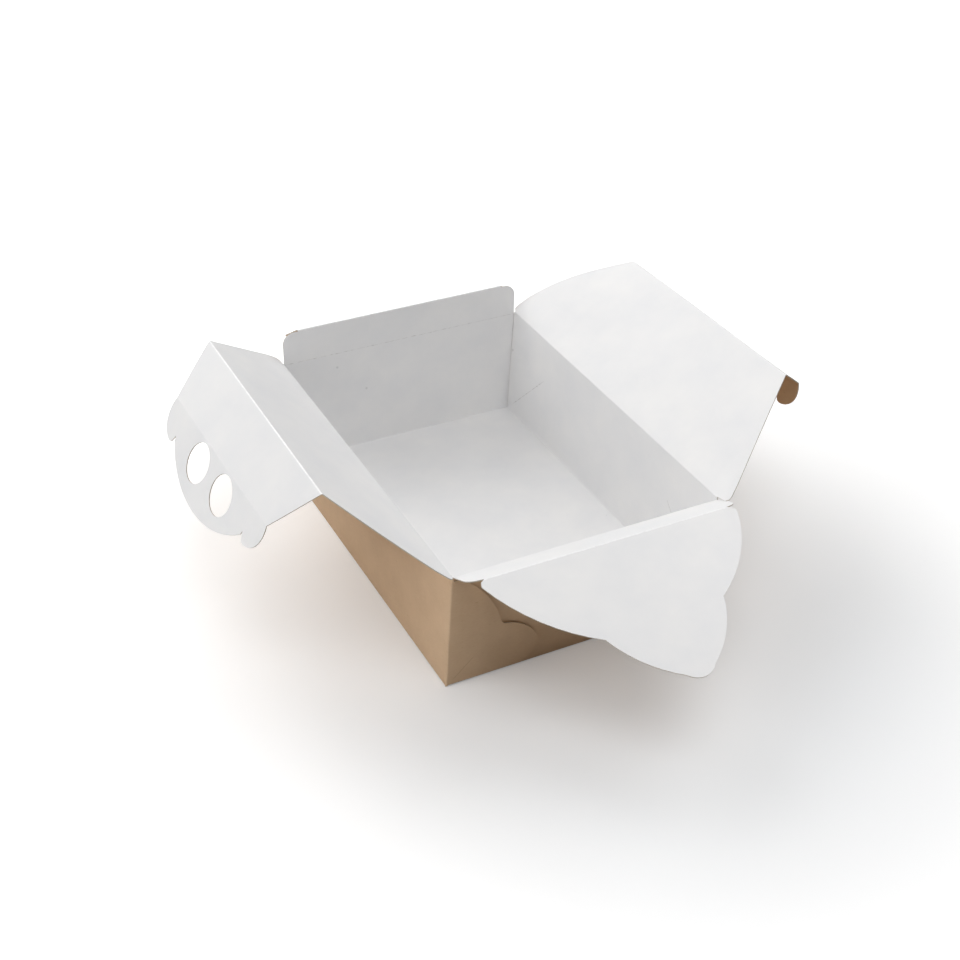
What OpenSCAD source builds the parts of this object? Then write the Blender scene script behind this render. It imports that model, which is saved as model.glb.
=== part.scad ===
// Open pastry box folded from one sheet of board: a tray, two long roof flaps that carry
// folded handles with finger holes, and two end flaps with tulip-shaped tongues.
// Millimetres. The origin is the centre of the underside, +Z is up, the long side lies along Y,
// and the flaps stand as they were left: both roof flaps half open, the front one laid out,
// the back one upright with its tongue folded down behind.

/* [Board] */
// Thickness of the board
board_t = 0.5; // [0.35:0.05:0.8]
// Space between the board and a flap's fold line
fold_gap = 0.4; // [0.35:0.05:0.6]
// Depth of a pressed crease line
crease_depth = 0.12; // [0.05:0.01:0.2]
// Width of a pressed crease line
crease_w = 0.8; // [0.4:0.1:1.5]

/* [Tray] */
// Width of the tray, across the long sides
tray_w = 150; // [130:1:190]
// Length of the tray
tray_l = 220; // [212:1:280]
// Height of the fold line of the long sides
tray_h = 68; // [60:1:110]
// How much lower the fold lines of the two ends lie
end_drop = 1; // [0.9:0.1:2]

/* [Corner tabs] */
// Reach of the glued tab's shoulder along the end wall
tab_shoulder = 28; // [20:1:34]
// Height of the notch between the tab's shoulder and its lobe
tab_notch_z = 32; // [26:1:40]
// Reach of the tab's lobe along the end wall
tab_reach = 49.5; // [40:0.5:56]
// Height of the tip of the lobe
tab_tip_z = 14.5; // [12:0.5:18]
// Height of the diagonal crease on the long walls, from the bottom corner
diagonal_h = 42; // [20:1:50]

/* [Roof flaps] */
// Depth of a roof flap, from the rim to the handle's fold
roof_d = 70.5; // [60:0.5:72]
// Length of the handle's fold
ridge_l = 156; // [140:1:170]
// How far each end of a roof flap lies inside the end wall's outer face
roof_inset = 0.8; // [0.6:0.1:3]
// Depth over which a roof flap keeps its full length
roof_straight = 10; // [4:1:20]
// Angle of the left roof flap above the horizontal
left_open_angle = 41.5; // [20:0.5:80]
// Angle of the right roof flap above the horizontal
right_open_angle = 36; // [20:0.5:80]

/* [Handles] */
// Turn of the board at the left handle's fold
left_handle_angle = 83; // [60:1:90]
// Turn of the board at the left handle's second fold
left_grip_angle = 18.5; // [5:0.5:60]
// Turn of the board at the right handle's fold
right_handle_angle = 79; // [60:1:90]
// Turn of the board at the right handle's second fold
right_grip_angle = 50; // [5:0.5:60]
// Distance from the handle's fold to the second fold
shoulder_d = 31; // [24:0.5:36]
// Width between the two notches where the shoulders end
shoulder_l = 121; // [112:1:130]
// Distance from the handle's fold to the top of the grip
handle_d = 63; // [58:0.5:72]
// Width of the grip at its feet, between the hooks
grip_w = 86; // [78:1:90]
// Distance from the handle's fold to the feet of the grip
grip_foot_d = 47; // [44:0.5:50]
// Width between the tips of the two hooks
hook_l = 102; // [94:1:106]
// Distance from the handle's fold to the hooks' tips
hook_d = 49.5; // [46:0.5:52]
// Depth of the slit between a hook and the grip
slit_depth = 2.5; // [1:0.5:5]
// Diameter of a finger hole
finger_d = 21; // [18:0.5:24]
// Distance between the centres of the finger holes
finger_pitch = 30; // [27:0.5:34]
// Distance from the handle's fold to the finger holes
finger_at = 43; // [42:0.5:50]

/* [End flaps] */
// Depth of the strip next to the rim
strip_d = 20; // [14:0.5:26]
// Radius of the strip's outer corners
strip_r = 7; // [4:0.5:13]
// Space between the strip's ends and the long walls
strip_clear = 0.4; // [0.3:0.1:1]
// Width of the tongue at its fold
tongue_w = 140; // [100:1:142]
// Distance from the tongue's fold to its notches
tongue_notch_d = 50; // [40:1:56]
// Width between the notches
tongue_notch_w = 62; // [50:1:70]
// Length of the tongue, from its fold to the tip
tongue_d = 84; // [70:0.5:88]
// Radius of the rounded tip
tongue_tip_r = 9; // [5:0.5:14]
// Space between the board and the tongue's fold line
tongue_gap = 0.3; // [0.25:0.05:0.4]
// Distance from the board's brown face out to the tongue's fold line
tongue_axis_out = 0.15; // [0.12:0.01:0.3]
// Angle of the front strip above the horizontal
front_open_angle = 27; // [0:0.5:90]
// Turn of the board at the front tongue's fold
front_tongue_angle = 41.5; // [0:0.5:60]
// Angle of the back strip above the horizontal
back_open_angle = 90; // [60:1:110]
// Turn of the board at the back tongue's fold
back_tongue_angle = 130; // [100:1:150]

/* [Hidden] */
KRAFT = "#b08a5f";
COATED = "#e9e6e2";
half_t = board_t / 2;
half_w = tray_w / 2;
half_l = tray_l / 2;
end_h = tray_h - end_drop;
// Chords of an arc, one for about every 5 degrees
arc_step = 5;
// Outward direction of each side, as a turn about Z from the front
FRONT = 0;
RIGHT = 90;
BACK = 180;
LEFT = 270;
// A crease cut starts a little outside the face that it is pressed into
skin = 0.2;

// Points of an arc about centre c with radius r, from angle a0 to angle a1
function arc(c, r, a0, a1) =
    let (steps = max(2, ceil(abs(a1 - a0) / arc_step)))
    [for (i = [0:steps]) let (a = a0 + (a1 - a0) * i / steps) c + r * [cos(a), sin(a)]];

// Centre of the circle of radius r through p and q, on the left of the way from p to q
function centre_left(p, q, r) =
    let (m = (p + q) / 2, d = q - p, n = norm(d))
    m + sqrt(r * r - n * n / 4) * [-d[1], d[0]] / n;

// Points of the arc of radius r from p to q that bulges to the right of the way
function bulge(p, q, r) =
    let (
        c = centre_left(p, q, r),
        a0 = atan2(p[1] - c[1], p[0] - c[0]),
        a1 = atan2(q[1] - c[1], q[0] - c[0])
    )
    arc(c, r, a0, a1 < a0 ? a1 + 360 : a1);

// A right half that ends on the Y axis, with its mirror image added after it
function both_halves(points) =
    concat(points, [for (i = [len(points) - 2:-1:0]) [-points[i][0], points[i][1]]]);

// A board panel: an outline in the plane of X and the outward direction, centred on the fold plane
module panel() {
    rotate([90, 0, 0]) translate([0, 0, -half_t]) linear_extrude(board_t) children();
}

// Puts a flap drawn upright over the front rim at its place: out from the centre, raised by
// height, and leaned outward until it stands at open degrees above the horizontal
module hinged(side, out, height, open) {
    rotate([0, 0, side]) translate([0, half_t - out, height]) rotate([90 - open, 0, 0]) children();
}

// Outline of a tray wall, upright, with the fold gap left below the fold line
module wall(width, height) {
    translate([-width / 2, 0]) square([width, height - fold_gap]);
}

// Outline of one glued corner tab: x runs along the end wall from the corner
function tab_outline() =
    let (
        step = 3 * board_t,
        foot = 2 * board_t,
        top = end_h - fold_gap - step,
        notch = [tab_shoulder, tab_notch_z],
        tip = [tab_reach, tab_tip_z],
        shoulder_r = 2.07 * tab_shoulder,
        lobe_r = 0.525 * tab_reach,
        foot_r = 1.03 * tab_tip_z
    )
    concat(
        [[0, foot]],
        bulge([tab_reach - 0.62 * tab_tip_z, foot], tip, foot_r),
        bulge(tip, notch + [step, -step], lobe_r),
        bulge(notch, [3 * step, top], shoulder_r),
        [[0, top]]
    );

// The tabs at both ends of one end wall, glued on its outer face
module tabs() {
    for (side = [0, 1]) mirror([side, 0, 0]) translate([-half_w, 0, 0]) polygon(tab_outline());
}

// The pressed crease that runs up a long wall from a bottom corner, on the white face
module diagonal_crease() {
    translate([0, 0, board_t]) rotate([0, -45, 0])
        translate([crease_w, -skin, -crease_w / 2])
            cube([diagonal_h * sqrt(2), crease_depth + skin, crease_w]);
}

module tray() {
    color(KRAFT) difference() {
        union() {
            translate([-half_w, -half_l, 0]) cube([tray_w, tray_l, board_t]);
            for (side = [FRONT, BACK]) rotate([0, 0, side]) {
                translate([0, half_t - half_l, 0]) panel() wall(tray_w, end_h);
                translate([0, -half_t - half_l, 0]) panel() tabs();
            }
            for (side = [LEFT, RIGHT]) rotate([0, 0, side])
                translate([0, half_t - half_w, 0]) panel() wall(tray_l, tray_h);
        }
        for (side = [LEFT, RIGHT], end = [0, 1]) rotate([0, 0, side]) mirror([end, 0, 0])
            translate([-half_l + board_t, -half_w + board_t, 0]) mirror([0, 1, 0]) diagonal_crease();
    }
}

// Outline of a roof flap above its fold line, ending at the handle's fold
module roof_outline(extra) {
    half = half_l - roof_inset;
    polygon([
        [-half, fold_gap], [half, fold_gap], [half, roof_straight],
        [ridge_l / 2, roof_d], [ridge_l / 2, roof_d + extra],
        [-ridge_l / 2, roof_d + extra], [-ridge_l / 2, roof_d], [-half, roof_straight]
    ]);
}

// Right half of the outline of a handle, from the second fold round a hook to the grip's top
function grip_side() =
    let (
        notch = [shoulder_l / 2, shoulder_d],
        side_r = 0.8 * (hook_d - shoulder_d),
        tip_r = hook_d / 10,
        hook = [hook_l / 2 - 0.6 * tip_r, hook_d],
        half = grip_w / 2,
        tip = [half + tip_r / 2, hook_d - tip_r / 8],
        slit = [half + tip_r / 6, grip_foot_d - slit_depth],
        rise = handle_d - grip_foot_d,
        grip_r = (half * half + rise * rise) / (2 * rise),
        top_angle = asin(half / grip_r)
    )
    concat(
        bulge(notch, hook, side_r),
        bulge(hook, tip, tip_r),
        [slit],
        arc([0, handle_d - grip_r], grip_r, 90 - top_angle, 90)
    );

// Outline of the part of a handle past the second fold
module grip_outline(extra) {
    half = shoulder_l / 2;
    difference() {
        polygon(concat([[-half, shoulder_d - extra], [half, shoulder_d - extra]], both_halves(grip_side())));
        for (end = [-1, 1]) translate([end * finger_pitch / 2, finger_at]) circle(d = finger_d, $fn = 64);
    }
}

// Outline of the shoulders, between the two folds
module shoulder_outline(extra_low, extra_high) {
    low = ridge_l / 2;
    high = shoulder_l / 2;
    polygon([
        [-low, -extra_low], [low, -extra_low], [low, 0],
        [high, shoulder_d], [high, shoulder_d + extra_high],
        [-high, shoulder_d + extra_high], [-high, shoulder_d], [-low, 0]
    ]);
}

// A roof flap with its handle, drawn upright; its two folds turn the board toward its brown face,
// and the panels run past a fold until their outer faces meet
module roof_flap(handle_angle, grip_angle) {
    fold_extra = half_t * tan(handle_angle / 2);
    grip_extra = half_t * tan(grip_angle / 2);
    panel() roof_outline(fold_extra);
    translate([0, 0, roof_d]) rotate([handle_angle, 0, 0]) {
        panel() shoulder_outline(fold_extra, grip_extra);
        translate([0, 0, shoulder_d]) rotate([grip_angle, 0, 0])
            translate([0, 0, -shoulder_d]) panel() grip_outline(grip_extra);
    }
}

module left_flap() {
    color(COATED) hinged(LEFT, half_w, tray_h, left_open_angle)
        roof_flap(left_handle_angle, left_grip_angle);
}

module right_flap() {
    color(COATED) hinged(RIGHT, half_w, tray_h, right_open_angle)
        roof_flap(right_handle_angle, right_grip_angle);
}

// The strip of an end flap, drawn upright
module strip() {
    half = half_w - board_t - strip_clear;
    top = strip_d - tongue_gap;
    panel() polygon(concat(
        [[-half, fold_gap], [half, fold_gap]],
        arc([half - strip_r, top - strip_r], strip_r, 0, 90),
        arc([strip_r - half, top - strip_r], strip_r, 90, 180)
    ));
}

// Right half of the tongue's outline, from its fold round the notch to the tip
function tongue_side() =
    let (
        root = [tongue_w / 2, tongue_gap],
        notch = [tongue_notch_w / 2, tongue_notch_d],
        lobe = notch + [0, tongue_notch_d / 80],
        tip_centre = [0, tongue_d - tongue_tip_r],
        tip_start = 36,
        tip_side = tip_centre + tongue_tip_r * [cos(tip_start), sin(tip_start)],
        shoulder_r = 0.7 * tongue_w,
        lobe_r = 0.76 * tongue_d
    )
    concat(
        bulge(root, notch, shoulder_r),
        bulge(lobe, tip_side, lobe_r),
        arc(tip_centre, tongue_tip_r, tip_start + arc_step, 90)
    );

// The tongue of an end flap, drawn upright over its own fold line, which lies outside the board
module tongue() {
    translate([0, half_t + tongue_axis_out, 0]) panel() polygon(both_halves(tongue_side()));
}

// Puts a tongue at the end of its strip, turned toward the brown face
module at_strip_end(fold) {
    axis_y = half_t + tongue_axis_out;
    translate([0, -axis_y, strip_d]) rotate([fold, 0, 0]) children();
}

module front_flap() {
    color(COATED) hinged(FRONT, half_l, end_h, front_open_angle) strip();
}

module front_tongue() {
    color(COATED) hinged(FRONT, half_l, end_h, front_open_angle) at_strip_end(front_tongue_angle) tongue();
}

module back_flap() {
    color(COATED) hinged(BACK, half_l, end_h, back_open_angle) strip();
}

module back_tongue() {
    color(COATED) hinged(BACK, half_l, end_h, back_open_angle) at_strip_end(back_tongue_angle) tongue();
}

tray();
left_flap();
right_flap();
front_flap();
front_tongue();
back_flap();
back_tongue();
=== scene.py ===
"""Open pastry box, dressed: one folded sheet of board, brown kraft outside and white coated inside.

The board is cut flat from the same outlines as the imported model, scored into a fine grid, and then
bent along its folds. Lengths are in millimetres until a sheet is put in place, and metres after that.
"""
import math

import bmesh
import bpy
from mathutils import Matrix, Vector


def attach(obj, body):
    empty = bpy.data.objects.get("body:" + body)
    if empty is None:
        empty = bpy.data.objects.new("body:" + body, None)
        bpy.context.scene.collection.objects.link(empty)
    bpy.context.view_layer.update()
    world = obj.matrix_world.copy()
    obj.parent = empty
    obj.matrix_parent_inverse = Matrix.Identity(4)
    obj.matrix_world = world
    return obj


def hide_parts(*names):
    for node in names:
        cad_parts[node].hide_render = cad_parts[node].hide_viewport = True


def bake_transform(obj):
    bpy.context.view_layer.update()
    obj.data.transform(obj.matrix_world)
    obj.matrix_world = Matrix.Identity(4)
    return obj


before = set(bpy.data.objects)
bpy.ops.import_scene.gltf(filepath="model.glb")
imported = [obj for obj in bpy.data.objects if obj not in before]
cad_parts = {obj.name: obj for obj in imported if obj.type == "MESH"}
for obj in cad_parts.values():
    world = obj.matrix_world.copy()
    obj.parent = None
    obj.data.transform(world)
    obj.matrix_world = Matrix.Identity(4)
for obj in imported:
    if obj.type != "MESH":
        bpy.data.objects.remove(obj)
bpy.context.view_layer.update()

MM = 0.001
BOARD = 0.5  # thickness of the board
LEFT, RIGHT, FRONT, BACK = "left", "right", "front", "back"

# The tray, with the fold lines of its long sides at RIM and of its two ends at END_RIM
HALF_W, HALF_L = 75.0, 110.0
RIM, END_RIM = 68.0, 67.0
MID = BOARD / 2
GAP = 0.4  # from a fold line to where the tray's own sheet ends

# The roof flaps with their handles, measured from the fold at the rim
ROOF_D, RIDGE = 70.2, 156.0
SHOULDER_D, SHOULDER_L = 31.0, 121.0
HANDLE_D, HOOK_D, HOOK_L = 63.0, 49.5, 102.0
GRIP_W, GRIP_FOOT_D, SLIT = 86.0, 47.0, 2.5
FINGER_D, FINGER_PITCH, FINGER_AT = 21.0, 30.0, 43.0

# The end flaps: a strip, then a tongue past its fold
STRIP_D, STRIP_R, STRIP_HALF = 20.0, 7.0, 74.1
TONGUE_W, NOTCH_D, NOTCH_W = 140.0, 50.0, 62.0
TONGUE_D, TIP_R = 84.0, 9.0
TONGUE_FOLD_R = 0.4  # the tongue turns about a line this far outside the sheet's middle

# How the board bends: radii of its folds, and where it is scored round a fold at the rim and a crease
RIM_FOLD_R, HANDLE_FOLD_R, SECOND_FOLD_R = 0.5, 0.7, 1.2
RIM_SCORES = (-0.2, 0.0, 0.2, 0.5)
CREASE_SCORES = (-0.8, -0.4, 0.0, 0.4, 0.8)
CREASE_HALF = 0.8  # half the width of the painted shade along a crease


def rad(degrees):
    return math.radians(degrees)


def ease(value, low, high):
    """0 below low, 1 above high, and a smooth rise between them."""
    t = min(1.0, max(0.0, (value - low) / (high - low)))
    return t * t * (3 - 2 * t)


def colour(hex_code):
    """A colour written as sRGB hex, as linear RGBA."""
    parts = [int(hex_code[i : i + 2], 16) / 255 for i in (1, 3, 5)]
    return [c / 12.92 if c <= 0.04045 else ((c + 0.055) / 1.055) ** 2.4 for c in parts] + [1.0]


# Outlines of the blank, flat: u along the fold, v away from it


def arc(centre, radius, start, end, step=5):
    count = max(2, math.ceil(abs(end - start) / step))
    angles = [start + (end - start) * i / count for i in range(count + 1)]
    return [(centre[0] + radius * math.cos(rad(a)), centre[1] + radius * math.sin(rad(a))) for a in angles]


def bulge(p, q, radius):
    """The arc of this radius from p to q that bulges to the right of the way."""
    dx, dy = q[0] - p[0], q[1] - p[1]
    length = math.hypot(dx, dy)
    rise = math.sqrt(radius * radius - length * length / 4) / length
    centre = ((p[0] + q[0]) / 2 - dy * rise, (p[1] + q[1]) / 2 + dx * rise)
    start = math.degrees(math.atan2(p[1] - centre[1], p[0] - centre[0]))
    end = math.degrees(math.atan2(q[1] - centre[1], q[0] - centre[0]))
    return arc(centre, radius, start, end + 360 if end < start else end)


def mirrored(right_half):
    """A right half that ends on the middle line, followed by its mirror image."""
    return right_half + [(-u, v) for u, v in reversed(right_half[:-1])]


def loop_of(points):
    """The outline without points that repeat."""
    kept = []
    for point in points:
        if not kept or math.dist(point, kept[-1]) > 0.02:
            kept.append(point)
    return kept[:-1] if math.dist(kept[0], kept[-1]) < 0.02 else kept


def roof_side(ear, swell):
    """Right side of a roof flap with its handle, from the rim up to the middle of the grip. ear is
    how far the corner next to the rim stands out past the straight end, and swell how far the end
    is rounded outward between there and the ridge."""
    half = HALF_L - 0.8
    foot = ROOF_D + SHOULDER_D
    notch = (SHOULDER_L / 2, foot)
    hook_r = 0.8 * (HOOK_D - SHOULDER_D)
    tip_r = HOOK_D / 10
    hook = (HOOK_L / 2 - 0.6 * tip_r, ROOF_D + HOOK_D)
    tip = (GRIP_W / 2 + tip_r / 2, ROOF_D + HOOK_D - tip_r / 8)
    slit = (GRIP_W / 2 + tip_r / 6, ROOF_D + GRIP_FOOT_D - SLIT)
    rise = HANDLE_D - GRIP_FOOT_D
    grip_r = ((GRIP_W / 2) ** 2 + rise * rise) / (2 * rise)
    start = math.degrees(math.acos(GRIP_W / 2 / grip_r))
    foot_u, foot_v = half + ear * 0.4, 12.0
    end = []
    for share in (0.0, 0.15, 0.3, 0.5, 0.7, 0.85, 1.0):
        u = foot_u + (RIDGE / 2 - foot_u) * share + swell * math.sin(math.pi * share)
        end.append((u, foot_v + (ROOF_D - foot_v) * share))
    return (
        [(half, -GAP), (half, GAP), (half + ear * 0.8, 1.2), (half + ear, 3.0), (half + ear * 0.95, 5.0)]
        + end
        + bulge(notch, hook, hook_r)
        + bulge(hook, tip, tip_r)
        + [slit]
        + arc((0, ROOF_D + HANDLE_D - grip_r), grip_r, start, 90)
    )


def roof_outline(back, front):
    """Outline of a roof flap with its back end at the right and its front end at the left."""
    return loop_of(roof_side(*back) + [(-u, v) for u, v in reversed(roof_side(*front)[:-1])])


def finger_holes():
    centres = [(s * FINGER_PITCH / 2, ROOF_D + FINGER_AT) for s in (-1, 1)]
    return [arc(centre, FINGER_D / 2, 0, 354, 6) for centre in centres]


def strip_outline():
    top = STRIP_D - 0.25
    inner = STRIP_HALF - STRIP_R
    right = [(STRIP_HALF, -GAP)] + arc((inner, top - STRIP_R), STRIP_R, 0, 90) + [(0, top)]
    return loop_of(mirrored(right))


def tongue_outline(side, start):
    """Outline of a tongue that begins at v = start, a little before its fold. The back one's root is
    rounded off more, so that it lies hidden behind the strip's rounded corners."""
    half, notch_half = TONGUE_W / 2, NOTCH_W / 2
    tip_start = 36
    centre = (0, TONGUE_D - TIP_R)
    tip_side = (TIP_R * math.cos(rad(tip_start)), centre[1] + TIP_R * math.sin(rad(tip_start)))
    if side == FRONT:
        root = [(66.8, start), (66.8, 0.0), (half - 0.9, 1.4), (half - 0.1, 3.4)]
    else:
        root = [(64.8, start), (64.8, 0.0), (65.8, 1.8), (67.0, 4.0), (68.4, 6.4), (69.4, 8.4)]
    right = (
        root
        + bulge((half, root[-1][1] + 0.8), (notch_half, NOTCH_D), 0.7 * TONGUE_W)
        + bulge((notch_half, NOTCH_D + 0.625), tip_side, 0.76 * TONGUE_D)
        + arc(centre, TIP_R, tip_start + 5, 90)
    )
    return loop_of(mirrored(right))


def tab_outline():
    """Outline of a glued corner tab: u along the end wall from the corner, v the height."""
    shoulder, notch_z, reach, tip_z = 28.0, 32.0, 49.5, 14.5
    step, foot = 1.5, 1.0
    top = END_RIM - GAP - step
    notch, tip = (shoulder, notch_z), (reach, tip_z)
    return (
        bulge((reach - 0.62 * tip_z, foot), tip, 1.03 * tip_z)
        + bulge(tip, (notch[0] + step, notch[1] - step), 0.525 * reach)
        + bulge(notch, (3 * step, top), 2.07 * shoulder)
    )


# Making a sheet


def score(bm, axis, places):
    """Cuts the flat sheet along u = place or v = place, so that it can bend there."""
    normal = Vector((1, 0, 0)) if axis == "u" else Vector((0, 1, 0))
    for place in places:
        everything = bm.verts[:] + bm.edges[:] + bm.faces[:]
        bmesh.ops.bisect_plane(bm, geom=everything, dist=1e-5, plane_co=normal * place, plane_no=normal)


def score_slanted(bm, start, end, spread):
    """Cuts the flat sheet along a slanted crease and on both sides of it."""
    along = Vector((end[0] - start[0], end[1] - start[1], 0)).normalized()
    normal = Vector((-along.y, along.x, 0))
    for offset in spread:
        everything = bm.verts[:] + bm.edges[:] + bm.faces[:]
        origin = Vector((start[0], start[1], 0)) + normal * offset
        bmesh.ops.bisect_plane(bm, geom=everything, dist=1e-5, plane_co=origin, plane_no=normal)


def flat_sheet(outline, holes=()):
    """The blank of a piece, flat and unbent."""
    bm = bmesh.new()
    edges = []
    for loop in [outline, *holes]:
        verts = [bm.verts.new((u, v, 0)) for u, v in loop]
        edges += [bm.edges.new(pair) for pair in zip(verts, verts[1:] + verts[:1])]
    bmesh.ops.triangle_fill(bm, use_beauty=True, use_dissolve=False, edges=edges, normal=(0, 0, 1))
    bmesh.ops.dissolve_limit(bm, angle_limit=rad(1), verts=bm.verts[:], edges=bm.edges[:])
    return bm


def grid(low, high, pitch):
    count = max(1, round((high - low) / pitch))
    return [low + (high - low) * i / count for i in range(1, count)]


def near(place, spread=(-1.6, -1.0, -0.6, -0.3, 0.0, 0.3, 0.6, 1.0, 1.6)):
    """Score lines close together round a fold, so that it bends in a round and its wear and painted
    highlight show.
    """
    return [place + s for s in spread]


def board(name, bm, place, wear_and_painted_light=None):
    """Gives a flat sheet its thickness, a white face, a kraft face and a cut edge, and puts it in
    place: place(u, v, w) gives millimetres, with w measured toward the white face. The last argument,
    given u, v and outside, gives how worn that side of the board is there, which on the white face
    also paints a highlight along a fold, and how much painted shade lies along a score there."""
    bm.verts.ensure_lookup_table()
    flat = [(v.co.x, v.co.y) for v in bm.verts]
    count = len(flat)
    points = [Vector(place(u, v, MID)) for u, v in flat] + [Vector(place(u, v, -MID)) for u, v in flat]
    faces, slots = [], []
    for face in bm.faces:
        ring = [v.index for v in face.verts]
        faces += [ring, [i + count for i in reversed(ring)]]
        slots += [0, 1]
    for edge in bm.edges:
        if len(edge.link_faces) == 1:
            a, b = (v.index for v in edge.verts)
            faces.append([a, b, b + count, a + count])
            slots.append(2)
    bm.free()
    mesh = bpy.data.meshes.new(name)
    mesh.from_pydata([p * MM for p in points], [], faces)
    mesh.polygons.foreach_set("material_index", slots)
    sheet = mesh.uv_layers.new(name="sheet")
    for loop in mesh.loops:
        u, v = flat[loop.vertex_index % count]
        sheet.data[loop.index].uv = (u * MM, v * MM)
    wear_and_highlight = mesh.attributes.new("wear_and_highlight", "FLOAT", "POINT")
    score_shade = mesh.attributes.new("score_shade", "FLOAT", "POINT")
    for i in range(2 * count):
        marks = wear_and_painted_light(*flat[i % count], i >= count) if wear_and_painted_light else (0.0, 0.0)
        wear_and_highlight.data[i].value, score_shade.data[i].value = marks
    turned = bmesh.new()
    turned.from_mesh(mesh)
    bmesh.ops.recalc_face_normals(turned, faces=turned.faces[:])
    turned.to_mesh(mesh)
    turned.free()
    mesh.polygons.foreach_set("use_smooth", [True] * len(mesh.polygons))
    for material in (white_face, kraft_face, cut_edge):
        mesh.materials.append(material)
    obj = bpy.data.objects.new(name, mesh)
    bpy.context.scene.collection.objects.link(obj)
    mesh.set_sharp_from_angle(angle=rad(38))
    return obj


def bent(v, w, bends, start=-2.0):
    """Out and up of a point of a sheet that rises along the wall and then turns by each bend.
    v is the way along the sheet from the fold at the rim, w the way toward its white face."""
    out, up, heading, here = 0.0, start, rad(90), start
    for begin, turn, radius in bends:
        if v <= begin:
            break
        out += (begin - here) * math.cos(heading)
        up += (begin - here) * math.sin(heading)
        length = abs(turn) * radius
        step = min(v - begin, length)
        rate = turn / length
        out += (math.sin(heading + rate * step) - math.sin(heading)) / rate
        up -= (math.cos(heading + rate * step) - math.cos(heading)) / rate
        heading += rate * step
        here = begin + step
    out += (v - here) * math.cos(heading)
    up += (v - here) * math.sin(heading)
    return out - w * math.sin(heading), up + w * math.cos(heading)


def bend_at(place, degrees, radius):
    """A bend whose middle lies at this place along the sheet."""
    turn = rad(degrees)
    return (place - abs(turn) * radius / 2, turn, radius)


# Materials


def add_node(tree, kind, inputs=None, out=0, **settings):
    """Adds a node and returns one of its outputs. inputs fill its sockets, each with another output,
    a hex colour or a plain value. settings name its properties, and stops are a colour ramp's, each
    a place with a hex colour or a grey level."""
    node = tree.nodes.new(kind)
    stops = settings.pop("stops", ())
    for key, value in settings.items():
        setattr(node, key, value)
    for _ in stops[2:]:
        node.color_ramp.elements.new(0.5)
    for index, (place, shade) in enumerate(stops):
        node.color_ramp.elements[index].position = place
        tone = colour(shade) if isinstance(shade, str) else (shade, shade, shade, 1)
        node.color_ramp.elements[index].color = tone
    for socket, value in (inputs or {}).items():
        if isinstance(value, bpy.types.NodeSocket):
            tree.links.new(value, node.inputs[socket])
        else:
            node.inputs[socket].default_value = colour(value) if isinstance(value, str) else value
    return node.outputs[out] if node.outputs else None


def new_material(name):
    material = bpy.data.materials.new(name)
    material.use_nodes = True
    material.node_tree.nodes.clear()
    return material, material.node_tree


def paper_pattern(tree, per_mm, stretch=(1, 1, 1), detail=4.0, roughness=0.6, offset=(0, 0, 0)):
    """An irregular paper pattern over the flat sheet, with about this many features a millimetre."""
    flat = add_node(tree, "ShaderNodeUVMap", uv_map="sheet")
    scale = [per_mm / MM * s for s in stretch]
    placed = add_node(tree, "ShaderNodeMapping", {"Vector": flat, "Scale": scale, "Location": offset})
    inputs = {"Vector": placed, "Scale": 1.0, "Detail": detail, "Roughness": roughness}
    return add_node(tree, "ShaderNodeTexNoise", inputs)


def ragged_mark(tree, name, pattern, amount, stops):
    """How strongly a mark of the sheet shows: its attribute, with its border broken up by a pattern."""
    mark = add_node(tree, "ShaderNodeAttribute", out="Fac", attribute_name=name)
    centred = {0: pattern, 1: amount, 2: -amount / 2}
    shift = add_node(tree, "ShaderNodeMath", centred, operation="MULTIPLY_ADD")
    ragged = add_node(tree, "ShaderNodeMath", {0: mark, 1: shift}, operation="ADD")
    return add_node(tree, "ShaderNodeValToRGB", {"Fac": ragged}, stops=stops)


def paper_shader(tree, base, fibres, bump_strength, bump_depth, roughness):
    """A paper surface: its colour, the relief of its fibres and how matt it is. IOR is paper's 1.5."""
    relief = {"Height": fibres, "Strength": bump_strength, "Distance": bump_depth * MM}
    inputs = {"Base Color": base, "Normal": add_node(tree, "ShaderNodeBump", relief)}
    shader = add_node(tree, "ShaderNodeBsdfPrincipled", inputs | {"Roughness": roughness, "IOR": 1.5})
    add_node(tree, "ShaderNodeOutputMaterial", {"Surface": shader})


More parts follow.
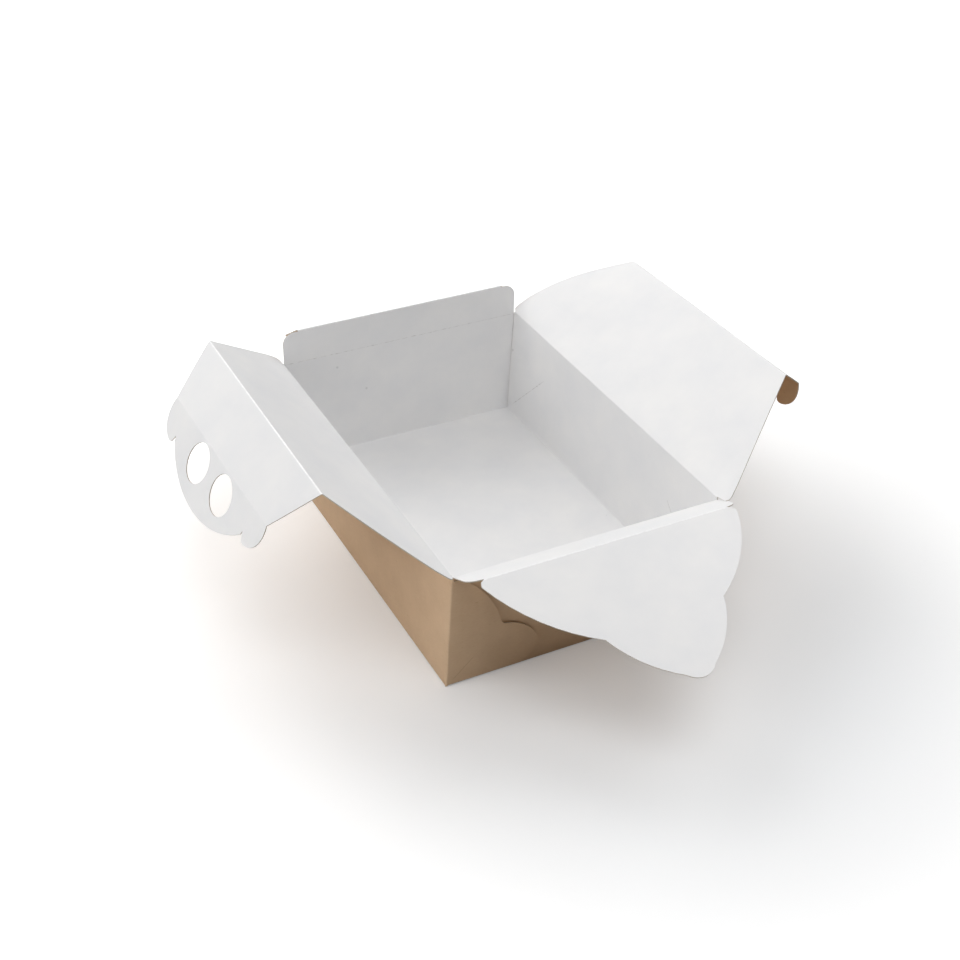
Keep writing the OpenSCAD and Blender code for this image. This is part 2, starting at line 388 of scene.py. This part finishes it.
def make_white_face():
    """Clay-coated white face of the board, calendered: an even, faintly glossy white with a slight
    cloudiness, a few specks, brighter along a sharp fold, where the coating is cracked and a highlight
    is painted, and a thin broken line of painted shade where the board is scored. Its fibres are finer
    than they are drawn."""
    material, tree = new_material("Clay_coated_white_board")
    clouds = paper_pattern(tree, 0.03, detail=3.0)
    base = add_node(tree, "ShaderNodeValToRGB", {"Fac": clouds}, stops=[(0.3, "#E9E9EA"), (0.7, "#F0EFEE")])
    fibres = paper_pattern(tree, 1.1, stretch=(1, 0.35, 1), detail=5.0)
    grain = {0: 0.06, 6: base, 7: fibres}
    base = add_node(tree, "ShaderNodeMix", grain, 2, data_type="RGBA", blend_type="OVERLAY")
    specks = paper_pattern(tree, 0.16, detail=0.0, offset=(3.1, 7.7, 0))
    few = [(0.0, 0.0), (0.855, 0.0), (0.88, 0.5), (1.0, 0.5)]
    spots = add_node(tree, "ShaderNodeValToRGB", {"Fac": specks}, stops=few)
    base = add_node(tree, "ShaderNodeMix", {0: spots, 6: base, 7: "#C6C7C6"}, 2, data_type="RGBA")
    ragged = paper_pattern(tree, 0.55)
    # Brighter along folds: partly cracked coating, partly a painted highlight of the fold.
    cracked_and_highlight = ragged_mark(tree, "wear_and_highlight", ragged, 0.9, [(0.45, 0.0), (0.75, 1.0)])
    base = add_node(tree, "ShaderNodeMix", {0: cracked_and_highlight, 6: base, 7: "#FBFBFB"}, 2, data_type="RGBA")
    # A thin broken grey line along each score: painted shade of the crease.
    broken = paper_pattern(tree, 0.35, stretch=(1, 2.5, 1), detail=3.0, offset=(11, 3, 0))
    score_shade = ragged_mark(tree, "score_shade", broken, 1.1, [(0.5, 0.0), (0.85, 0.75)])
    base = add_node(tree, "ShaderNodeMix", {0: score_shade, 6: base, 7: "#B4B1AD"}, 2, data_type="RGBA")
    paper_shader(tree, base, fibres, 0.12, 0.05, 0.48)
    return material


def make_kraft_face():
    """Unbleached kraft liner, machine finished: matt brown with fine darker and lighter fibres that
    run one way, soft cloudiness, and a paler line where a fold has rubbed. Its fibres are finer than
    they are drawn."""
    material, tree = new_material("Unbleached_kraft_liner")
    clouds = paper_pattern(tree, 0.05)
    base = add_node(tree, "ShaderNodeValToRGB", {"Fac": clouds}, stops=[(0.3, "#CFB190"), (0.7, "#D8BA99")])
    fibres = paper_pattern(tree, 1.4, stretch=(0.25, 1, 1), detail=6.0, roughness=0.7)
    grain = {0: 0.14, 6: base, 7: fibres}
    base = add_node(tree, "ShaderNodeMix", grain, 2, data_type="RGBA", blend_type="OVERLAY")
    flecks = paper_pattern(tree, 0.9, stretch=(0.3, 1, 1), detail=1.0, offset=(5, 9, 0))
    few = [(0.0, 0.0), (0.7, 0.0), (0.8, 0.35), (1.0, 0.35)]
    dark = add_node(tree, "ShaderNodeValToRGB", {"Fac": flecks}, stops=few)
    base = add_node(tree, "ShaderNodeMix", {0: dark, 6: base, 7: "#A5835F"}, 2, data_type="RGBA")
    ragged = paper_pattern(tree, 0.5, offset=(2, 4, 0))
    rubbed = ragged_mark(tree, "wear_and_highlight", ragged, 0.8, [(0.4, 0.0), (0.9, 0.55)])
    base = add_node(tree, "ShaderNodeMix", {0: rubbed, 6: base, 7: "#DEC5A6"}, 2, data_type="RGBA")
    # Darker along each score: painted shade of the crease.
    score_shade = ragged_mark(tree, "score_shade", ragged, 0.3, [(0.3, 0.0), (1.0, 0.6)])
    base = add_node(tree, "ShaderNodeMix", {0: score_shade, 6: base, 7: "#9A7855"}, 2, data_type="RGBA")
    paper_shader(tree, base, fibres, 0.35, 0.08, 0.85)
    return material


def make_cut_edge():
    """Die-cut edge of the board: the open grey-brown core of the paper, rough and matt. Its fibres
    are finer than they are drawn."""
    material, tree = new_material("Die_cut_board_edge")
    fibres = paper_pattern(tree, 2.0)
    base = add_node(tree, "ShaderNodeValToRGB", {"Fac": fibres}, stops=[(0.3, "#B0A79C"), (0.7, "#C6BEB4")])
    paper_shader(tree, base, fibres, 0.4, 0.08, 0.9)
    return material


white_face = make_white_face()
kraft_face = make_kraft_face()
cut_edge = make_cut_edge()


# Roof flaps with their handles


def fold_marks(*folds):
    """How worn the board is near folds, which on the white face also paints a highlight, and how much
    painted shade lies along their scores, for folds given as (place, half width, wear with painted
    highlight, painted score shade).
    """

    def marks(u, v, outside):
        wear_and_highlight = score_shade = 0.0
        for place, half_width, rub_and_highlight, line in folds:
            closeness = max(0.0, 1 - abs(v - place) / half_width)
            wear_and_highlight, score_shade = max(wear_and_highlight, rub_and_highlight * closeness), max(score_shade, line * closeness)
        return wear_and_highlight, score_shade

    return marks


def roof_place(side, opened, warp, folds, sway, twist, bow):
    """Where a roof flap's sheet goes. opened is how steeply it rises from the rim, and warp how much
    flatter it is at its back end, and how much steeper at its front end, than at its middle. The
    front is held low enough to lie over the end flap when the box is shut. folds are the turns at
    the handle's fold and at the second one, sway shifts the ridge and the handle along Y, twist
    turns the handle more at one end than at the other, and bow(u, v) lifts the roof toward its
    white face."""
    out_sign = -1 if side == LEFT else 1
    handle_turn, grip_turn = folds

    def place(u, v, w):
        rim_bend = bend_at(0, opened - warp[0 if u > 0 else 1] * u / HALF_W - 90, RIM_FOLD_R)
        ridge = bend_at(ROOF_D, twist * u / 60 - handle_turn, HANDLE_FOLD_R)
        grip = bend_at(ROOF_D + SHOULDER_D, -grip_turn, SECOND_FOLD_R)
        out, up = bent(v, w + bow(u, v), (rim_bend, ridge, grip))
        y = u + sway * min(1.0, max(0.0, v / ROOF_D))
        return (out_sign * (HALF_W - MID + out), y, RIM + up)

    return place


def roof_flap(side, opened, warp, folds, sway, twist, bow, ears):
    bm = flat_sheet(roof_outline(*ears), finger_holes())
    score(bm, "v", near(0, RIM_SCORES) + near(ROOF_D) + near(ROOF_D + SHOULDER_D))
    score(bm, "v", grid(1.5, ROOF_D - 2, 6) + grid(ROOF_D + 2, ROOF_D + SHOULDER_D - 2, 6))
    score(bm, "v", grid(ROOF_D + SHOULDER_D + 2, ROOF_D + HANDLE_D, 5))
    score(bm, "u", grid(-HALF_L, HALF_L, 6))
    second_fold = ROOF_D + SHOULDER_D
    wear_and_painted_light = fold_marks((ROOF_D, 1.1, 0.72, 0.0), (second_fold, 0.7, 0.5, 0.0), (0, 0.7, 0.25, 0.0))
    obj = board(f"{side}_roof_flap_board", bm, roof_place(side, opened, warp, folds, sway, twist, bow), wear_and_painted_light)
    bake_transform(obj)
    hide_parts(f"{side}_flap")
    return obj


def left_bow(u, v):
    """The left roof lies nearly flat, a little hollow in the middle."""
    return -0.5 * math.sin(math.pi * min(1.0, max(0.0, v / ROOF_D))) * ease(-u, -HALF_L, HALF_L)


def right_bow(u, v):
    """The far end of the right roof is bowed up where it was bent."""
    along = min(1.0, max(0.0, v / ROOF_D))
    return 3.7 * math.sin(math.pi * along) * ease(u, 20, HALF_L)


roof_flap(LEFT, 41.5, (0.0, 0.0), (83.5, 18.5), -6.0, 4.9, left_bow, ((5.0, 0.0), (4.5, 0.0)))
roof_flap(RIGHT, 36.0, (3.7, 1.9), (80.1, 50.0), -4.0, -2.6, right_bow, ((2.5, 3.0), (6.5, 0.0)))


# End flaps


def end_place(side, bends, offset=0.0, twist=(0.0, 0.0), skew=0.0):
    """Where an end flap's sheet goes. offset is how far its own v starts past the rim's fold. twist
    turns the last bend more toward -u and less toward +u, by its two angles at the corners."""
    way = -1 if side == FRONT else 1

    def place(u, v, w):
        *first, (begin, turn, radius) = bends
        last = (begin, turn + rad(twist[1 if u > 0 else 0] * u / 70), radius)
        out, up = bent(v + offset, w, (*first, last))
        x = u + skew * max(0.0, v) / 50
        return (x * (1 if side == FRONT else -1), way * (HALF_L - MID + out), END_RIM + up)

    return place


def end_rim_bend(opened):
    """The bend of an end flap at the rim, which is next to none where the flap stands upright."""
    return bend_at(0, opened - 90, RIM_FOLD_R) if opened < 90 else (0, -1e-6, RIM_FOLD_R)


def end_strip(side, opened):
    bm = flat_sheet(strip_outline())
    score(bm, "v", near(0, RIM_SCORES) + grid(1.0, STRIP_D - 1, 4) + [STRIP_D - 0.9, STRIP_D - 0.5])
    score(bm, "u", grid(-STRIP_HALF, STRIP_HALF, 8))
    bends = (end_rim_bend(opened),)
    wear_and_painted_light = fold_marks((STRIP_D, 1.3, 0.75, 0.4), (0, 0.9, 0.2, 0.65 if side == BACK else 0.0))
    obj = board(f"{side}_strip_board", bm, end_place(side, bends), wear_and_painted_light)
    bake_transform(obj)
    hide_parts(f"{side}_flap")
    return obj


def end_tongue(side, opened, fold, twist, skew):
    """A tongue with the round of its fold and a sliver of the strip before it."""
    begin = -0.25
    rim = end_rim_bend(opened)
    turn = rad(-fold)
    bends = (rim, (STRIP_D, turn, TONGUE_FOLD_R))
    round_length = abs(turn) * TONGUE_FOLD_R
    bm = flat_sheet(tongue_outline(side, begin))
    score(bm, "v", [round_length * k / 6 for k in range(7)] + [round_length + 0.3, round_length + 0.9])
    score(bm, "v", grid(1.5, TONGUE_D, 5))
    score(bm, "u", grid(-TONGUE_W / 2, TONGUE_W / 2, 6))
    wear_and_painted_light = fold_marks((round_length / 2, 1.3, 0.75, 0.4))
    place = end_place(side, bends, STRIP_D, twist, skew)
    obj = board(f"{side}_tongue_board", bm, place, wear_and_painted_light)
    start = Vector(place(0, -0.1, 0)) * MM
    end = Vector(place(0, round_length + 0.15, 0)) * MM
    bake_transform(obj)
    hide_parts(f"{side}_tongue")
    return obj


end_strip(FRONT, 27)
end_tongue(FRONT, 27, 41.5, (3.0, 8.7), 1.7)
end_strip(BACK, 90)
end_tongue(BACK, 90, 130, (0.0, 0.0), 0.0)


# Tray


def lean(x, y, z):
    """The open box is a little out of true: its bottom lies to the left and back of its rim."""
    share = 1 - z / RIM
    return x - 2.3 * share, y + 0.9 * share, z


def ends_and_bottom():
    """The two end walls and the bottom between them, folded from one strip of the sheet. The walls
    are cut a little narrower than the bottom, which leaves a thin gap at each inner corner."""
    radius = 0.7
    wall = END_RIM - GAP - MID - radius
    quarter = rad(90) * radius
    flat_run = 2 * (HALF_L - MID - radius)
    total = 2 * wall + 2 * quarter + flat_run
    half_width = HALF_W - BOARD

    def profile(s, w):
        """s is measured from the middle of the bottom toward one end."""
        if s <= flat_run / 2:
            return s, MID + w
        turned = min(rad(90), (s - flat_run / 2) / radius)
        y = flat_run / 2 + (radius - w) * math.sin(turned)
        z = MID + radius - (radius - w) * math.cos(turned)
        return y, z + max(0.0, s - flat_run / 2 - quarter)

    def wall_place(u, v, w):
        y, z = profile(abs(v), w)
        return lean(u, math.copysign(y, v), z)

    half = total / 2
    foot = flat_run / 2 + quarter
    corner = [(half_width, foot - 0.6), (half_width - 1.3, foot + 1.0), (half_width - 0.7, half)]
    right = [(u, -v) for u, v in reversed(corner)] + corner
    bm = flat_sheet(right + [(-u, v) for u, v in reversed(right)])
    bend = [flat_run / 2 + quarter * k / 4 for k in range(5)]
    score(bm, "v", [s * b for b in bend for s in (-1, 1)] + grid(-flat_run / 2, flat_run / 2, 10))
    rise = grid(flat_run / 2 + quarter, half, 8)
    score(bm, "v", rise + [-r for r in rise])
    score(bm, "u", grid(-half_width, half_width, 10))
    return board("ends_and_bottom_board", bm, wall_place)


def long_wall(side):
    """A long wall with the round of its bottom fold and the glued tabs at both ends, which wrap
    round the corners onto the end walls."""
    radius = 0.8
    quarter = rad(90) * radius
    out_sign = -1 if side == LEFT else 1
    straight = HALF_L + MID - radius
    corner = straight + quarter
    top = RIM - GAP
    tab = [(corner - MID + u, v) for u, v in tab_outline()]
    foot = -0.55
    tab_top = END_RIM - GAP - 1.5
    half = (
        [(0, foot), (straight - 0.2, foot), (corner + 0.3, 1.0)]
        + tab
        + [(corner + 0.3, tab_top), (corner - 0.2, top - 0.6), (straight - 0.2, top), (0, top)]
    )
    outline = loop_of(half + [(-u, v) for u, v in reversed(half)])

    def place(u, v, w):
        s, sign = abs(u), math.copysign(1, u)
        turned = min(rad(90), max(0.0, (s - straight) / radius))
        past = max(0.0, s - corner)
        lifted = 0.0
        if past > 0:
            lifted = 0.8 * ease(past, 5, 24) * ease(v, 8, 26)
        offset = w - lifted
        across = HALF_W - MID - radius + (radius - offset) * math.cos(turned) - past
        y = straight + (radius - offset) * math.sin(turned) if s > straight else s
        if s <= straight:
            across = HALF_W - MID - offset
        z = max(v, 0.0)
        under = max(0.0, 0.7 + MID - v)
        if under > 0 and s <= straight:
            bend_r = 0.7
            angle = min(rad(90), under / bend_r)
            across = HALF_W - MID - bend_r + (bend_r - w) * math.cos(angle)
            z = MID + bend_r - (bend_r - w) * math.sin(angle)
        return lean(out_sign * across, sign * y, z)

    crease_run, inner_reach = 13.5, 40
    crease_from = (corner + 1.0, 2.0)
    crease_to = (crease_from[0] + crease_run, crease_from[1] + crease_run)

    def wear_and_painted_light(u, v, outside):
        s = abs(u)
        # Worn down the round of the corner; on the white face this also paints a highlight there.
        wear_and_highlight = max(0.0, 1 - abs(s - (straight + quarter / 2)) / 1.2) * 0.55
        # Painted shade along the slanted crease of each tab, and on the white face along the slanted crease
        # from the foot of each corner.
        along = (s - crease_from[0] + v - crease_from[1]) / 2
        across = abs((s - crease_from[0]) - (v - crease_from[1])) / math.sqrt(2)
        score_shade = max(0.0, 1 - across / CREASE_HALF) * 0.7 if 0 < along < crease_run else 0.0
        inner = abs((straight - s) - v) / math.sqrt(2)
        if not outside and s < straight and 1 < v < inner_reach + 2:
            score_shade = max(score_shade, max(0.0, 1 - inner / CREASE_HALF) * 0.75)
        return wear_and_highlight, score_shade

    bm = flat_sheet(outline)
    ends = [straight + quarter * k / 4 for k in range(5)]
    score(bm, "u", [s * e for e in ends for s in (-1, 1)] + grid(-straight, straight, 10))
    spread = [corner + d for d in (4, 8, 12, 17, 22, 27, 32, 37, 42, 46)]
    score(bm, "u", spread + [-s for s in spread])
    score(bm, "v", [foot + 0.37 * k for k in range(1, 5)] + grid(1.5, top, 6))
    for sign in (-1, 1):
        start = (sign * crease_from[0], crease_from[1])
        end = (sign * crease_to[0], crease_to[1])
        score_slanted(bm, start, end, CREASE_SCORES)
        inner_end = (sign * (straight - inner_reach), inner_reach)
        score_slanted(bm, (sign * straight, 0), inner_end, CREASE_SCORES)
    return board(f"{side}_wall_board", bm, place, wear_and_painted_light)


for piece in (ends_and_bottom(), long_wall(LEFT), long_wall(RIGHT)):
    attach(piece, "tray")
    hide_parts("tray")


# Floor, light and camera


def make_floor():
    """A matt white table top, whose origin lies where the box's shadow is deepest. What the camera
    sees of it is lifted toward white, a little there and wholly farther off, which paints a soft shadow
    round that place on top of the one the box casts. Near the box its own colour is a shade cooler,
    which balances the warm light that the kraft throws on it."""
    material, tree = new_material("Matt_white_table_with_painted_shadow")
    place = add_node(tree, "ShaderNodeTexCoord", out="Object")
    metres = add_node(tree, "ShaderNodeVectorMath", {0: place}, "Value", operation="LENGTH")
    half_way = add_node(tree, "ShaderNodeMath", {0: metres, 1: 0.5}, operation="MULTIPLY")
    # Little lift round the origin and full lift far off, which paints a shadow round the box.
    levels = [(0.0, 0.14), (0.06, 0.2), (0.085, 0.26), (0.14, 0.48), (0.3, 0.75), (0.7, 1.0)]
    lift_with_painted_shadow = add_node(tree, "ShaderNodeValToRGB", {"Fac": half_way}, stops=levels)
    seen = add_node(tree, "ShaderNodeLightPath", out="Is Camera Ray")
    strength = add_node(tree, "ShaderNodeMath", {0: seen, 1: lift_with_painted_shadow}, operation="MULTIPLY")
    glow = add_node(tree, "ShaderNodeEmission", {"Color": "#FFFFFF", "Strength": strength})
    tones = [(0.05, "#E0E2E4"), (0.1, "#E3E3E3")]
    paint = add_node(tree, "ShaderNodeValToRGB", {"Fac": half_way}, stops=tones)
    diffuse = add_node(tree, "ShaderNodeBsdfDiffuse", {"Color": paint})
    both = add_node(tree, "ShaderNodeAddShader", {0: diffuse, 1: glow})
    add_node(tree, "ShaderNodeOutputMaterial", {"Surface": both})
    bm = bmesh.new()
    bmesh.ops.create_grid(bm, x_segments=24, y_segments=24, size=4.0)
    mesh = bpy.data.meshes.new("floor")
    bm.to_mesh(mesh)
    bm.free()
    mesh.materials.append(material)
    obj = bpy.data.objects.new("floor", mesh)
    bpy.context.scene.collection.objects.link(obj)
    # The origin sets where the painted shadow is deepest.
    obj.location = (0.04, -0.12, -0.0002)


def softbox(name, place, size, power):
    """A square soft lamp that faces the middle of the box."""
    light = bpy.data.lights.new(name, "AREA")
    light.shape, light.size, light.energy = "SQUARE", size, power
    obj = bpy.data.objects.new(name, light)
    bpy.context.scene.collection.objects.link(obj)
    obj.location = place
    obj.rotation_mode = "QUATERNION"
    obj.rotation_quaternion = (Vector((0, 0, 0.05)) - Vector(place)).to_track_quat("-Z", "Y")


def sky():
    """Plain studio surroundings: bright overhead, dimmer toward the floor, and plain white where
    the camera looks past the floor."""
    world = bpy.data.worlds.new("studio")
    bpy.context.scene.world = world
    world.use_nodes = True
    tree = world.node_tree
    tree.nodes.clear()
    direction = add_node(tree, "ShaderNodeTexCoord", out="Generated")
    height = add_node(tree, "ShaderNodeSeparateXYZ", {"Vector": direction}, "Z")
    levels = [(0.0, 0.30), (0.35, 0.45), (0.9, 0.95)]
    level = add_node(tree, "ShaderNodeValToRGB", {"Fac": height}, stops=levels)
    light = add_node(tree, "ShaderNodeBackground", {"Color": level, "Strength": 0.1})
    seen = add_node(tree, "ShaderNodeBackground", {"Color": "#FFFFFF", "Strength": 1.0})
    by_camera = add_node(tree, "ShaderNodeLightPath", out="Is Camera Ray")
    choose = add_node(tree, "ShaderNodeMixShader", {0: by_camera, 1: light, 2: seen})
    add_node(tree, "ShaderNodeOutputWorld", {"Surface": choose})


def camera():
    """The photograph's viewpoint: from the front left and above, with a slight roll."""
    azimuth, elevation, roll = rad(-27.456), rad(34.195), rad(1.152)
    image, focal_px = 960, 1570.85
    level = math.cos(elevation)
    back = Vector((math.sin(azimuth) * level, -math.cos(azimuth) * level, math.sin(elevation)))
    right = (-back).cross(Vector((0, 0, 1))).normalized()
    up = right.cross(-back)
    turned = right * math.cos(roll) + up * math.sin(roll)
    upright = turned.cross(-back)
    data = bpy.data.cameras.new("camera")
    data.sensor_width = 36
    data.lens = focal_px * data.sensor_width / image
    data.clip_start, data.clip_end = 0.05, 20
    obj = bpy.data.objects.new("camera", data)
    bpy.context.scene.collection.objects.link(obj)
    place = Vector((-332.3, -632.5, 518.9)) * MM
    basis = Matrix((turned, upright, back)).transposed()
    obj.matrix_world = Matrix.Translation(place) @ basis.to_4x4()
    bpy.context.scene.camera = obj


make_floor()
sky()
softbox("back", (0.0, 1.3, 1.0), 1.2, 9.5)
softbox("back_left", (-0.55, 0.75, 1.15), 0.9, 3.4)
softbox("left", (-1.35, 0.0, 0.65), 0.9, 8.2)
softbox("front_top", (-0.1, -0.7, 1.35), 0.9, 7.4)
softbox("right", (1.6, 0.3, 1.6), 2.0, 21.0)
camera()
bpy.context.scene.view_settings.view_transform = "Standard"
